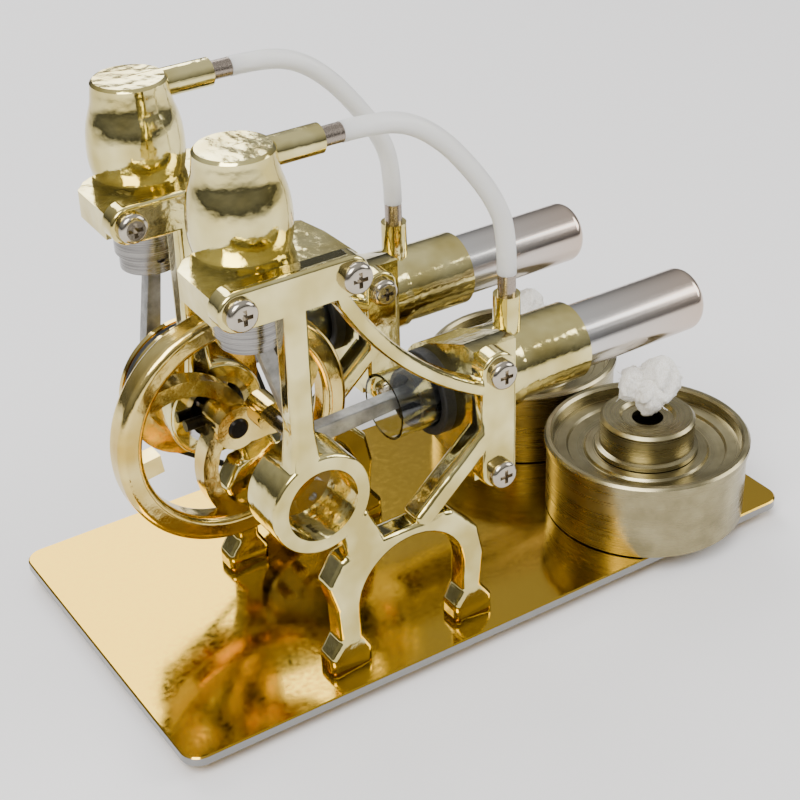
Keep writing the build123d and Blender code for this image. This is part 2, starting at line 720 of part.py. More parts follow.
# ------------------------------------------------------------------ screws
def make_frame_screws(face):
    """Four cross-recess pan-head screws through the top and flange bars."""
    places = (*HEAD_SCREWS, *FLANGE_SCREWS)
    with BuildPart() as screws:
        with BuildSketch(front_plane(face)):
            with Locations(*places):
                Circle(SCREW_HEAD_RADIUS)
        extrude(amount=SCREW_HEAD_HEIGHT)
        fillet(screws.faces().filter_by(Axis.Y).group_by(Axis.Y)[0].edges(), 1.1)
        with BuildSketch(front_plane(face - SCREW_HEAD_HEIGHT)):
            with Locations(*places):
                Rectangle(0.8, 3.0)
                Rectangle(3.0, 0.8)
        extrude(amount=-1.0, mode=Mode.SUBTRACT)
        with BuildSketch(front_plane(face)):
            with Locations(*places):
                Circle(SCREW_RADIUS)
        extrude(amount=-(BAR_DEPTH + SCREW_GRIP - 0.5))
    return screws


# ------------------------------------------------------------------ crank train
def make_shaft():
    """Crank shaft, turned down at the front for the flywheel and chamfered."""
    nose_front = WHEEL_FRONT - 0.5
    with BuildPart() as shaft:
        with BuildSketch(front_plane(nose_front)):
            Circle(SHAFT_NOSE_RADIUS)
        extrude(amount=-(HUB_BACK - nose_front))
        chamfer(shaft.faces().sort_by(Axis.Y)[0].edges(), 0.5)
        with BuildSketch(front_plane(HUB_BACK)):
            Circle(SHAFT_RADIUS)
        extrude(amount=-(DISC_BACK - HUB_BACK))
    return shaft


def make_flywheel():
    """Flywheel with three curved spokes, a crank boss and a balance stub."""
    pin_x, pin_z = crank_pin_place("front")
    boss_front = WHEEL_FRONT - 2.5
    stub_angle = -172
    stub_middle = WHEEL_INNER_RADIUS - 1.2
    with BuildPart() as wheel:
        with BuildSketch(front_plane(WHEEL_FRONT)):
            Circle(WHEEL_RADIUS)
            Circle(WHEEL_INNER_RADIUS, mode=Mode.SUBTRACT)
        extrude(amount=-RIM_WIDTH)
        fillet(wheel.edges(), 1.6)
        with BuildSketch(front_plane(WHEEL_FRONT + 0.8)):
            for turn in (0, 120, 240):
                with BuildLine() as spoke:
                    ThreePointArc(
                        polar(3.0, 62 + turn), polar(12.3, 118 + turn), polar(21.6, 152 + turn)
                    )
                trace(spoke.edges(), line_width=SPOKE_WIDTH)
            with Locations(Location(polar(stub_middle, stub_angle), stub_angle)):
                Rectangle(5.0, 4.0)
        extrude(amount=-SPOKE_DEPTH)
        with BuildSketch(front_plane(WHEEL_FRONT)):
            Circle(HUB_RADIUS)
        extrude(amount=-(HUB_BACK - WHEEL_FRONT))
        with BuildSketch(front_plane(boss_front)):
            with Locations((pin_x, pin_z)):
                Circle(CRANK_PIN_RADIUS + 1.8)
        extrude(amount=-(WHEEL_FRONT + SPOKE_DEPTH - boss_front))
        with BuildSketch(front_plane(boss_front)):
            with Locations((pin_x, pin_z)):
                Circle(CRANK_PIN_RADIUS)
        extrude(amount=-4.0, mode=Mode.SUBTRACT)
        with BuildSketch(front_plane(WHEEL_FRONT)):
            Circle(SHAFT_NOSE_RADIUS)
        extrude(amount=-(HUB_BACK - WHEEL_FRONT), mode=Mode.SUBTRACT)
        with BuildSketch(set_screw_plane()):
            Circle(SET_SCREW_RADIUS)
        extrude(amount=HUB_RADIUS + 1, mode=Mode.SUBTRACT)
    return wheel


def polar(radius, angle):
    """Point at a radius and an angle in degrees round the crank axis."""
    return (radius * cos(radians(angle)), radius * sin(radians(angle)))


def set_screw_plane():
    """Plane on the shaft's flat, from which the flywheel set screw runs out to -X."""
    origin = (SHAFT_X - SHAFT_NOSE_RADIUS, SET_SCREW_Y, SHAFT_Z)
    return Plane(origin=origin, x_dir=(0, 1, 0), z_dir=(-1, 0, 0))


def disc_screw_plane():
    """Plane on the shaft, from which the crank disc's grub screw runs out to -Z."""
    return Plane(origin=(SHAFT_X, BELT_Y, SHAFT_Z - SHAFT_RADIUS), x_dir=(1, 0, 0), z_dir=(0, 0, -1))


def make_set_screws():
    """Set screws of the flywheel and of the rear crank disc."""
    with BuildPart() as screws:
        with BuildSketch(set_screw_plane()):
            Circle(SET_SCREW_RADIUS)
        extrude(amount=6.0)
        with BuildSketch(disc_screw_plane()):
            Circle(SET_SCREW_RADIUS)
        extrude(amount=4.0)
    return screws


def make_front_crank_pin():
    """Front crank pin, from its boss to just behind the plane of the hot rod."""
    pin_end = FRONT_FACE + HOT_ROD_BACK + BODY_GAP
    boss_front = WHEEL_FRONT - 2.5
    with BuildPart() as pin:
        with BuildSketch(front_plane(pin_end)):
            with Locations(crank_pin_place("front")):
                Circle(CRANK_PIN_RADIUS)
        extrude(amount=-(boss_front + 4.0 - pin_end))
    return pin


def make_crank_disc():
    """Rear crank disc with a round belt groove in its edge."""
    with BuildPart() as disc:
        with BuildSketch(front_plane(DISC_FRONT)):
            Circle(DISC_RADIUS)
            Circle(SHAFT_RADIUS, mode=Mode.SUBTRACT)
            with Locations(crank_pin_place("rear")):
                Circle(CRANK_PIN_RADIUS, mode=Mode.SUBTRACT)
        extrude(amount=-DISC_THICKNESS)
        with BuildSketch(Plane(origin=(SHAFT_X, BELT_Y, SHAFT_Z), x_dir=(1, 0, 0), z_dir=(0, 0, 1))):
            with Locations((BELT_DISC_RADIUS, 0)):
                Circle(BELT_RADIUS + BODY_GAP)
        revolve(axis=Axis((SHAFT_X, 0, SHAFT_Z), (0, 1, 0)), mode=Mode.SUBTRACT)
        with BuildSketch(disc_screw_plane()):
            Circle(SET_SCREW_RADIUS)
        extrude(amount=DISC_RADIUS, mode=Mode.SUBTRACT)
    return disc


def make_rear_crank_pin():
    """Rear crank pin, from the disc to just in front of the power rod's plane."""
    pin_end = REAR_FACE + POWER_ROD_FRONT - BODY_GAP
    with BuildPart() as pin:
        with BuildSketch(front_plane(DISC_FRONT)):
            with Locations(crank_pin_place("rear")):
                Circle(CRANK_PIN_RADIUS)
        extrude(amount=-(pin_end - DISC_FRONT))
    return pin


def make_bearing_rings(outer_radius, inner_radius):
    """One ring of each of the two ball bearings side by side in the frame's ring."""
    with BuildPart() as rings:
        with BuildSketch(front_plane(REAR_FACE)):
            Circle(outer_radius)
            Circle(inner_radius, mode=Mode.SUBTRACT)
        extrude(amount=-2 * BEARING_WIDTH)
    return rings


def make_balls():
    """Balls of the two bearings."""
    with BuildPart() as balls:
        for row in (0.5, 1.5):
            with Locations(front_plane(REAR_FACE + row * BEARING_WIDTH)):
                with PolarLocations((SHAFT_RADIUS + BEARING_RADIUS) / 2, BALL_COUNT):
                    Sphere(BALL_RADIUS)
    return balls


# ------------------------------------------------------------------ generator and belt
def motor_face():
    """Depth of the generator can's front end."""
    return REAR_FACE - 1.5


def make_motor_can():
    """Generator can with shallow front boss, seated in the rear frame's arch."""
    front = motor_face()
    with BuildPart() as can:
        with BuildSketch(front_plane(front)):
            with Locations(ARCH_CENTRE):
                Circle(MOTOR_RADIUS)
        extrude(amount=-MOTOR_LENGTH)
        chamfer(can.edges().filter_by(GeomType.CIRCLE), 0.6)
        with BuildSketch(front_plane(front)):
            with Locations(ARCH_CENTRE):
                Circle(4.0)
        extrude(amount=0.8)
        with BuildSketch(front_plane(front - 0.8)):
            with Locations(ARCH_CENTRE):
                Circle(MOTOR_SHAFT_RADIUS + RUNNING_GAP)
        extrude(amount=-(MOTOR_LENGTH + 0.8), mode=Mode.SUBTRACT)
    return can


def make_motor_shaft():
    """Generator shaft, out at the back for the pulley."""
    with BuildPart() as shaft:
        with BuildSketch(front_plane(motor_face())):
            with Locations(ARCH_CENTRE):
                Circle(MOTOR_SHAFT_RADIUS)
        extrude(amount=-(DISC_BACK - motor_face()))
    return shaft


def make_pulley():
    """Small grooved pulley on the generator shaft, in line with the crank disc."""
    centre_x, centre_z = ARCH_CENTRE
    place = (SHAFT_X + centre_x, BELT_Y, SHAFT_Z + centre_z)
    width = 3.2
    with BuildPart() as pulley:
        with BuildSketch(front_plane(BELT_Y - width / 2)):
            with Locations(ARCH_CENTRE):
                Circle(PULLEY_RADIUS)
        extrude(amount=-width)
        with BuildSketch(Plane(origin=place, x_dir=(1, 0, 0), z_dir=(0, 0, 1))):
            with Locations((BELT_PULLEY_RADIUS, 0)):
                Circle(BELT_RADIUS + BODY_GAP)
        revolve(axis=Axis(place, (0, 1, 0)), mode=Mode.SUBTRACT)
        with BuildSketch(front_plane(BELT_Y - width / 2)):
            with Locations(ARCH_CENTRE):
                Circle(MOTOR_SHAFT_RADIUS)
        extrude(amount=-width, mode=Mode.SUBTRACT)
    return pulley


def make_terminals():
    """Two solder tags low on the generator's front end."""
    centre_x, centre_z = ARCH_CENTRE
    with BuildPart() as tags:
        with BuildSketch(front_plane(motor_face())):
            with Locations((centre_x - 8.0, centre_z - 3.0), (centre_x - 4.5, centre_z - 8.0)):
                RectangleRounded(2.4, 1.6, 0.5)
        extrude(amount=2.6)
    return tags


def make_belt():
    """Round belt: open loop round the crank disc and the pulley."""
    centre_x, centre_z = ARCH_CENTRE
    distance = hypot(centre_x, centre_z)
    line_angle = degrees(atan2(centre_z, centre_x))
    step = BELT_DISC_RADIUS - BELT_PULLEY_RADIUS
    contact = 90 - degrees(atan2(step, sqrt(distance**2 - step**2)))

    def on_disc(angle):
        return polar(BELT_DISC_RADIUS, angle)

    def on_pulley(angle):
        x, z = polar(BELT_PULLEY_RADIUS, angle)
        return (centre_x + x, centre_z + z)

    first = line_angle + contact
    last = line_angle - contact
    with BuildPart() as belt:
        with BuildLine(front_plane(BELT_Y)) as path:
            ThreePointArc(on_disc(first), on_disc(line_angle + 180), on_disc(last))
            Line(on_disc(last), on_pulley(last))
            ThreePointArc(on_pulley(last), on_pulley(line_angle), on_pulley(first))
            Line(on_pulley(first), on_disc(first))
        loop = path.wire()
        start = Plane(origin=loop @ 0, z_dir=loop % 0)
        with BuildSketch(start):
            Circle(BELT_RADIUS)
        sweep(path=loop)
    print("belt: length", round(loop.length, 2),
          "volume ratio", round(belt.part.volume / (pi * BELT_RADIUS**2 * loop.length), 4))
    return belt


# ------------------------------------------------------------------ spirit lamps
def lamp_place(unit):
    """Plan position of a lamp's axis."""
    side = -1 if unit == "front" else 1
    return (SHAFT_X + LAMP_X, side * (LAMP_FROM_MIDDLE + (PLATE_DEPTH - 80) / 2))


def lamp_profile(unit, points):
    """Revolved solid of a lamp piece, from (radius, height) points over its base."""
    x, y = lamp_place(unit)
    base = PLATE_TOP + LAMP_LIFT
    with BuildPart() as piece:
        with BuildSketch(Plane(origin=(x, y, base), x_dir=(1, 0, 0), z_dir=(0, -1, 0))):
            with BuildLine():
                Polyline(*points, close=True)
            make_face()
        revolve(axis=Axis((x, y, 0), (0, 0, 1)))
    return piece


def make_lamp_can(unit):
    """Spun can with a rolled rim, a stepped dish and a plain neck; hollow inside."""
    dish = LAMP_HEIGHT - DISH_DEPTH
    inside = LAMP_RADIUS - LAMP_WALL
    points = [
        (0, 0), (LAMP_RADIUS, 0), (LAMP_RADIUS, LAMP_HEIGHT - 2.0),
        (LAMP_RIM_RADIUS, LAMP_HEIGHT - 1.6), (LAMP_RIM_RADIUS, LAMP_HEIGHT - 0.5),
        (LAMP_RIM_RADIUS - 0.5, LAMP_HEIGHT), (LAMP_RIM_RADIUS - 1.4, LAMP_HEIGHT),
        (LAMP_RIM_RADIUS - 1.9, LAMP_HEIGHT - 0.6), (20.4, dish + 1.2), (17.6, dish + 0.9),
        (17.2, dish + 0.3),
        (13.8, dish), (13.4, dish + 0.5), (11.6, dish + 0.6), (NECK_RADIUS, dish + 0.6),
        (NECK_RADIUS, LID_TOP - 2.0), (NECK_RADIUS - 1.0, LID_TOP - 2.0),
        (NECK_RADIUS - 1.0, dish - LAMP_WALL), (inside, dish - LAMP_WALL), (inside, LAMP_WALL),
        (0, LAMP_WALL),
    ]
    return lamp_profile(unit, points)


def make_lamp_lid(unit):
    """Screw lid over the neck, with a base bead, a hollow and the wick hole."""
    dish = LAMP_HEIGHT - DISH_DEPTH
    inside = NECK_RADIUS + SEAT_GAP
    points = [
        (inside, dish + 0.8), (11.3, dish + 0.8), (11.3, dish + 1.8), (LID_RADIUS, dish + 2.2),
        (LID_RADIUS, LID_TOP - 0.6), (LID_RADIUS - 0.6, LID_TOP), (6.2, LID_TOP), (5.6, LID_TOP - 0.8),
        (WICK_RADIUS + SEAT_GAP, LID_TOP - 0.8), (WICK_RADIUS + SEAT_GAP, LID_TOP - 1.8),
        (inside, LID_TOP - 1.8),
    ]
    return lamp_profile(unit, points)


def make_wick(unit):
    """Round cotton wick from the bottom of the lamp to its frayed tip."""
    points = [
        (0, LAMP_WALL + 0.5), (WICK_RADIUS, LAMP_WALL + 0.5), (WICK_RADIUS, LID_TOP + 4.0),
        (WICK_RADIUS + 0.4, LID_TOP + 7.0), (WICK_RADIUS - 1.0, WICK_TOP - 2.0), (1.0, WICK_TOP),
        (0, WICK_TOP),
    ]
    return lamp_profile(unit, points)


# ------------------------------------------------------------------ build all
save(make_plate(), "base_plate")
save(make_pads(), "base_feet")
save(make_foot_screws(), "frame_foot_screws")
for unit, face in UNITS.items():
    pin = crank_pin_place(unit)
    power_wrist = (POWER_AXIS_X, power_wrist_height(unit))
    hot_wrist = (hot_wrist_place(unit), HOT_AXIS_Z)
    save(make_frame(face), f"{unit}_frame")
    save(make_power_head(face), f"{unit}_power_head")
    save(make_liner(face), f"{unit}_power_liner")
    save(make_power_piston(unit, face), f"{unit}_power_piston")
    save(make_power_wrist_pin(unit, face), f"{unit}_power_wrist_pin")
    save(make_rod(pin, power_wrist, face + POWER_ROD_FRONT), f"{unit}_power_rod")
    save(make_rod_bush(pin, face + POWER_ROD_FRONT), f"{unit}_power_rod_bush")
    save(make_hot_housing(face), f"{unit}_hot_housing")
    save(make_hot_cap(face), f"{unit}_hot_cap")
    save(make_glass_tube(face), f"{unit}_glass_tube")
    save(make_seal_ring(face), f"{unit}_seal_ring")
    save(make_hot_piston(unit, face), f"{unit}_hot_piston")
    save(make_hot_wrist_pin(unit, face), f"{unit}_hot_wrist_pin")
    save(make_rod(pin, hot_wrist, face + HOT_ROD_FRONT), f"{unit}_hot_rod")
    save(make_rod_bush(pin, face + HOT_ROD_FRONT), f"{unit}_hot_rod_bush")
    save(make_barbs(face), f"{unit}_tube_barbs")
    save(make_air_tube(face), f"{unit}_air_tube")
    save(make_frame_screws(face), f"{unit}_frame_screws")
    save(make_lamp_can(unit), f"{unit}_lamp_can")
    save(make_lamp_lid(unit), f"{unit}_lamp_lid")
    save(make_wick(unit), f"{unit}_wick")
save(make_shaft(), "crank_shaft")
save(make_flywheel(), "flywheel")
save(make_set_screws(), "crank_set_screws")
save(make_front_crank_pin(), "front_crank_pin")
save(make_crank_disc(), "rear_crank_disc")
save(make_rear_crank_pin(), "rear_crank_pin")
save(make_bearing_rings(BEARING_RADIUS, BEARING_RADIUS - RACE_WALL), "bearing_outer_rings")
save(make_bearing_rings(SHAFT_RADIUS + RACE_WALL, SHAFT_RADIUS), "bearing_inner_rings")
save(make_balls(), "bearing_balls")
save(make_motor_can(), "generator_can")
save(make_motor_shaft(), "generator_shaft")
save(make_pulley(), "generator_pulley")
save(make_terminals(), "generator_terminals")
save(make_belt(), "drive_belt")
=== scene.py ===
"""Looks of the two-cylinder Stirling engine: finishes, softened castings, hoses and wicks."""

import json
from math import radians

import bmesh
import bpy
import numpy as np
from mathutils import Matrix, Vector


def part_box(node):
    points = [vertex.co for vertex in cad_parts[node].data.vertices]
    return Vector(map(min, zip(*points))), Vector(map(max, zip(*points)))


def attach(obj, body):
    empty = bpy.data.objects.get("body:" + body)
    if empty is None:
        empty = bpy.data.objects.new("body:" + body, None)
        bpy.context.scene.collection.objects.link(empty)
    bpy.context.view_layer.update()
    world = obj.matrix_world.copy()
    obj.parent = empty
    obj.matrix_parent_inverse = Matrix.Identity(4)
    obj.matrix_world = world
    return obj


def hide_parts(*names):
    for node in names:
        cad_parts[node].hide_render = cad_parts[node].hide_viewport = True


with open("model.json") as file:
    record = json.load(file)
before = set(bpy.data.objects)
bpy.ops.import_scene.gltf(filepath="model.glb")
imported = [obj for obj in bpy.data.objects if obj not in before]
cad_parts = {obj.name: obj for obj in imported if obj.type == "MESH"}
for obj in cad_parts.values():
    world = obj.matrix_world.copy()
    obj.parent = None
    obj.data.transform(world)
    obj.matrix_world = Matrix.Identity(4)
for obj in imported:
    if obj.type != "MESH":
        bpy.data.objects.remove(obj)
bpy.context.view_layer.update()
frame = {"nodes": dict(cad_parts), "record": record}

MM = 0.001
UNITS = ("front", "rear")


# ------------------------------------------------------------------ camera
CAMERA_PLACE = Vector((-166.1, -262.1, 226.2)) * MM
CAMERA_RIGHT = Vector((0.8361, -0.5478, -0.0291))
CAMERA_UP = Vector((0.3054, 0.4208, 0.8542))
LENS = 76.8


def make_camera():
    """Camera at the viewing angle of the product picture."""
    data = bpy.data.cameras.new("camera")
    data.lens = LENS
    data.sensor_width = 36.0
    data.clip_start = 0.01
    data.clip_end = 50.0
    camera = bpy.data.objects.new("camera", data)
    back = CAMERA_RIGHT.cross(CAMERA_UP).normalized()
    up = back.cross(CAMERA_RIGHT).normalized()
    right = up.cross(back)
    turn = Matrix((right, up, back)).transposed().to_4x4()
    camera.matrix_world = Matrix.Translation(CAMERA_PLACE) @ turn
    bpy.context.scene.collection.objects.link(camera)
    bpy.context.scene.camera = camera


# ------------------------------------------------------------------ helpers
def link(piece):
    """Put an object into the scene."""
    bpy.context.scene.collection.objects.link(piece)
    return piece


def centre(node):
    """Middle of a CAD node's box."""
    low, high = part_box(node)
    return [(a + b) / 2 for a, b in zip(low, high)]


def srgb(text, alpha=1.0):
    """Linear colour of an sRGB hex value."""
    channels = np.array([int(text[i:i + 2], 16) / 255 for i in (1, 3, 5)])
    low = channels / 12.92
    high = ((channels + 0.055) / 1.055) ** 2.4
    return (*np.where(channels <= 0.04045, low, high).tolist(), alpha)


def add_node(tree, kind, inputs=None, **settings):
    """Add a shader node, set its properties, and set or link its inputs."""
    made = tree.nodes.new("ShaderNode" + kind)
    for name, value in settings.items():
        setattr(made, name, value)
    for socket, value in (inputs or {}).items():
        if isinstance(value, bpy.types.NodeSocket):
            tree.links.new(value, made.inputs[socket])
        else:
            made.inputs[socket].default_value = value
    return made


def start_material(name, inputs):
    """New material with one Principled shader; returns material, tree, shader and object point."""
    material = bpy.data.materials.new(name)
    material.use_nodes = True
    tree = material.node_tree
    tree.nodes.clear()
    shader = add_node(tree, "BsdfPrincipled", inputs)
    add_node(tree, "OutputMaterial", {"Surface": shader.outputs["BSDF"]})
    point = add_node(tree, "TexCoord").outputs["Object"]
    return material, tree, shader, point


def vary_roughness(tree, shader, pattern, low, high):
    """Let a 0 to 1 pattern move the roughness between two values."""
    spread = add_node(tree, "MapRange", {"Value": pattern, "From Min": 0.3, "From Max": 0.7,
                                         "To Min": low, "To Max": high})
    tree.links.new(spread.outputs["Result"], shader.inputs["Roughness"])


def vary_colour(tree, shader, pattern, dark, light):
    """Let a 0 to 1 pattern move the base colour between two sRGB values."""
    ramp = add_node(tree, "ValToRGB", {"Fac": pattern})
    ramp.color_ramp.elements[0].color = srgb(dark)
    ramp.color_ramp.elements[0].position = 0.35
    ramp.color_ramp.elements[1].color = srgb(light)
    ramp.color_ramp.elements[1].position = 0.65
    tree.links.new(ramp.outputs["Color"], shader.inputs["Base Color"])


def raise_surface(tree, shader, height, distance, strength):
    """Bump from a 0 to 1 height pattern of the given depth in metres."""
    bump = add_node(tree, "Bump", {"Height": height, "Distance": distance, "Strength": strength})
    tree.links.new(bump.outputs["Normal"], shader.inputs["Normal"])


# ------------------------------------------------------------------ metals
PIT_DEPTH = 0.03 * MM
MARK_LENGTH = 14 * MM
STRAW_START = 14 * MM


def plated_casting(name, dark, light, roughness, wave):
    """Zinc die casting with bright gold plating.

    The plating is a mirror, but the cast skin under it is slightly wavy (3 mm swells) with
    fine pits, so reflections break up and a few dull patches show.
    """
    material, tree, shader, point = start_material(name, {"Metallic": 1.0, "Roughness": roughness})
    swell = add_node(tree, "TexNoise", {"Vector": point, "Scale": 1 / (3.2 * MM), "Detail": 1.5})
    pits = add_node(tree, "TexNoise", {"Vector": point, "Scale": 1 / (0.5 * MM), "Detail": 3.0})
    tone = add_node(tree, "TexNoise", {"Vector": point, "Scale": 1 / (9 * MM), "Detail": 2.0})
    vary_colour(tree, shader, tone.outputs["Fac"], dark, light)
    vary_roughness(tree, shader, pits.outputs["Fac"], roughness * 0.7, roughness * 1.6)
    fine = add_node(tree, "Bump", {"Height": pits.outputs["Fac"], "Distance": PIT_DEPTH,
                                   "Strength": 0.35})
    broad = add_node(tree, "Bump", {"Height": swell.outputs["Fac"], "Distance": wave, "Strength": 0.5,
                                    "Normal": fine.outputs["Normal"]})
    tree.links.new(broad.outputs["Normal"], shader.inputs["Normal"])
    return material


def polished_sheet():
    """Polished brass-plated steel sheet: a clear mirror with faint rolling waves and light scuffs.

    Its sawn edges are bare steel, picked out by where the surface faces sideways.
    """
    material, tree, shader, point = start_material("polished_brass_sheet", {"Metallic": 1.0})
    waves = add_node(tree, "TexNoise", {"Vector": point, "Scale": 1 / (30 * MM), "Detail": 2.0})
    scuffs = add_node(tree, "TexNoise", {"Vector": point, "Scale": 1 / (1.2 * MM), "Detail": 6.0})
    vary_roughness(tree, shader, scuffs.outputs["Fac"], 0.07, 0.17)
    raise_surface(tree, shader, waves.outputs["Fac"], 0.4 * MM, 0.5)
    facing = add_node(tree, "SeparateXYZ", {"Vector": add_node(tree, "NewGeometry").outputs["Normal"]})
    upright = add_node(tree, "Math", {0: facing.outputs["Z"]}, operation="ABSOLUTE")
    flat = add_node(tree, "Math", {0: upright.outputs["Value"], 1: 0.5}, operation="GREATER_THAN")
    tone = add_node(tree, "Mix", {"Factor": flat.outputs["Value"], "A": srgb("#8E8E8C"),
                                  "B": srgb("#BD9A36")}, data_type="RGBA")
    tree.links.new(tone.outputs["Result"], shader.inputs["Base Color"])
    return material


def turned_metal(name, dark, light, roughness, along, pitch):
    """Metal worked on a lathe or drawn: fine parallel marks across one axis.

    The marks are noise stretched around the piece, so highlights spread along them.
    """
    material, tree, shader, point = start_material(name, {"Metallic": 1.0, "Roughness": roughness})
    squeeze = [1.0 / MARK_LENGTH] * 3
    squeeze["xyz".index(along)] = 1.0 / pitch
    lines = add_node(tree, "Mapping", {"Vector": point, "Scale": squeeze})
    marks = add_node(tree, "TexNoise", {"Vector": lines.outputs["Vector"], "Scale": 1.0, "Detail": 4.0})
    vary_colour(tree, shader, marks.outputs["Fac"], dark, light)
    vary_roughness(tree, shader, marks.outputs["Fac"], roughness * 0.75, roughness * 1.5)
    raise_surface(tree, shader, marks.outputs["Fac"], 0.02 * MM, 0.35)
    return material


def heated_stainless():
    """Drawn stainless steel cap: lengthwise polish, with a straw tint where the flame heats it."""
    material, tree, shader, point = start_material("heated_stainless", {"Metallic": 1.0})
    low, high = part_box("front_hot_cap")
    lines = add_node(tree, "Mapping", {"Vector": point, "Scale": (12, 2600, 2600)})
    marks = add_node(tree, "TexNoise", {"Vector": lines.outputs["Vector"], "Scale": 1.0, "Detail": 3.0})
    vary_roughness(tree, shader, marks.outputs["Fac"], 0.13, 0.24)
    raise_surface(tree, shader, marks.outputs["Fac"], 0.01 * MM, 0.3)
    place = add_node(tree, "SeparateXYZ", {"Vector": point})
    warm = add_node(tree, "MapRange", {"Value": place.outputs["X"], "From Min": low[0] + STRAW_START,
                                       "From Max": high[0]})
    ramp = add_node(tree, "ValToRGB", {"Fac": warm.outputs["Result"]})
    ramp.color_ramp.elements[0].color = srgb("#CFCCC8")
    ramp.color_ramp.elements[1].color = srgb("#C9B5A4")
    tree.links.new(ramp.outputs["Color"], shader.inputs["Base Color"])
    return material


def cast_zinc():
    """Bare pressure-cast zinc: matte grey with a sandy grain and darker blotches."""
    material, tree, shader, point = start_material("cast_zinc", {"Metallic": 0.9})
    sand = add_node(tree, "TexNoise", {"Vector": point, "Scale": 1 / (0.35 * MM), "Detail": 4.0})
    blotch = add_node(tree, "TexNoise", {"Vector": point, "Scale": 1 / (4 * MM), "Detail": 3.0})
    vary_colour(tree, shader, blotch.outputs["Fac"], "#7C7B78", "#A5A4A0")
    vary_roughness(tree, shader, sand.outputs["Fac"], 0.34, 0.55)
    raise_surface(tree, shader, sand.outputs["Fac"], 0.05 * MM, 0.6)
    return material


def spun_tin():
    """Tinned lamp can, spun to shape: satin warm metal with rings round each lamp's axis."""
    material, tree, shader, point = start_material("spun_tin", {"Metallic": 1.0})
    x, y, _ = centre("front_lamp_can")
    offset = abs(y)
    place = add_node(tree, "SeparateXYZ", {"Vector": point})
    side = add_node(tree, "Math", {0: place.outputs["Y"]}, operation="ABSOLUTE")
    from_y = add_node(tree, "Math", {0: side.outputs["Value"], 1: offset}, operation="SUBTRACT")
    from_x = add_node(tree, "Math", {0: place.outputs["X"], 1: x}, operation="SUBTRACT")
    flat = add_node(tree, "CombineXYZ", {"X": from_x.outputs["Value"], "Y": from_y.outputs["Value"]})
    radius = add_node(tree, "VectorMath", {0: flat.outputs["Vector"]}, operation="LENGTH")
    ring_place = add_node(tree, "CombineXYZ", {"X": radius.outputs["Value"], "Y": place.outputs["Z"]})
    rings = add_node(tree, "TexNoise", {"Vector": ring_place.outputs["Vector"], "Scale": 1 / (0.6 * MM),
                                        "Detail": 4.0})
    stain = add_node(tree, "TexNoise", {"Vector": point, "Scale": 1 / (7 * MM), "Detail": 4.0})
    vary_colour(tree, shader, stain.outputs["Fac"], "#857C5C", "#A59B78")
    vary_roughness(tree, shader, rings.outputs["Fac"], 0.22, 0.36)
    raise_surface(tree, shader, rings.outputs["Fac"], 0.02 * MM, 0.2)
    return material


def plain_metal(name, colour, roughness, grain):
    """Small plated or blackened steel part: even colour, with grain of the given size."""
    material, tree, shader, point = start_material(name, {"Base Color": srgb(colour), "Metallic": 1.0})
    fine = add_node(tree, "TexNoise", {"Vector": point, "Scale": 1 / grain, "Detail": 3.0})
    vary_roughness(tree, shader, fine.outputs["Fac"], roughness * 0.7, roughness * 1.5)
    raise_surface(tree, shader, fine.outputs["Fac"], 0.02 * MM, 0.3)
    return material


# ------------------------------------------------------------------ other materials
def moulded_rubber(name, colour, roughness):
    """Moulded rubber or plastic: soft dark surface with a fine matte skin."""
    material, tree, shader, point = start_material(name, {"Base Color": srgb(colour)})
    skin = add_node(tree, "TexNoise", {"Vector": point, "Scale": 1 / (0.4 * MM), "Detail": 3.0})
    vary_roughness(tree, shader, skin.outputs["Fac"], roughness * 0.85, roughness * 1.15)
    raise_surface(tree, shader, skin.outputs["Fac"], 0.03 * MM, 0.4)
    return material


def turned_graphite():
    """Graphite piston: dark grey, slightly glossy, with fine turning rings along X."""
    material, tree, shader, point = start_material("turned_graphite", {"Metallic": 0.3})
    lines = add_node(tree, "Mapping", {"Vector": point, "Scale": (1 / (0.3 * MM), 60, 60)})
    rings = add_node(tree, "TexNoise", {"Vector": lines.outputs["Vector"], "Scale": 1.0, "Detail": 2.0})
    vary_colour(tree, shader, rings.outputs["Fac"], "#232325", "#3A3A3D")
    vary_roughness(tree, shader, rings.outputs["Fac"], 0.28, 0.42)
    raise_surface(tree, shader, rings.outputs["Fac"], 0.03 * MM, 0.4)
    return material


def clear_glass():
    """Borosilicate tube: clear, with faint smears of oil that dull it in patches."""
    material, tree, shader, point = start_material("borosilicate_glass", {
        "Base Color": srgb("#F4F8F6"), "Transmission Weight": 1.0, "IOR": 1.47})
    smear = add_node(tree, "TexNoise", {"Vector": point, "Scale": 1 / (5 * MM), "Detail": 3.0})
    vary_roughness(tree, shader, smear.outputs["Fac"], 0.0, 0.09)
    return material


def milky_silicone():
    """Translucent silicone hose: milky white, soft sheen, light shows through its wall."""
    material, tree, shader, point = start_material("silicone_rubber", {
        "Base Color": srgb("#EFEEEA"), "IOR": 1.41, "Transmission Weight": 0.25,
        "Subsurface Weight": 0.5, "Subsurface Radius": (0.004, 0.004, 0.0035), "Subsurface Scale": 1.0})
    cloud = add_node(tree, "TexNoise", {"Vector": point, "Scale": 1 / (3 * MM), "Detail": 2.0})
    vary_roughness(tree, shader, cloud.outputs["Fac"], 0.28, 0.42)
    raise_surface(tree, shader, cloud.outputs["Fac"], 0.02 * MM, 0.3)
    return material


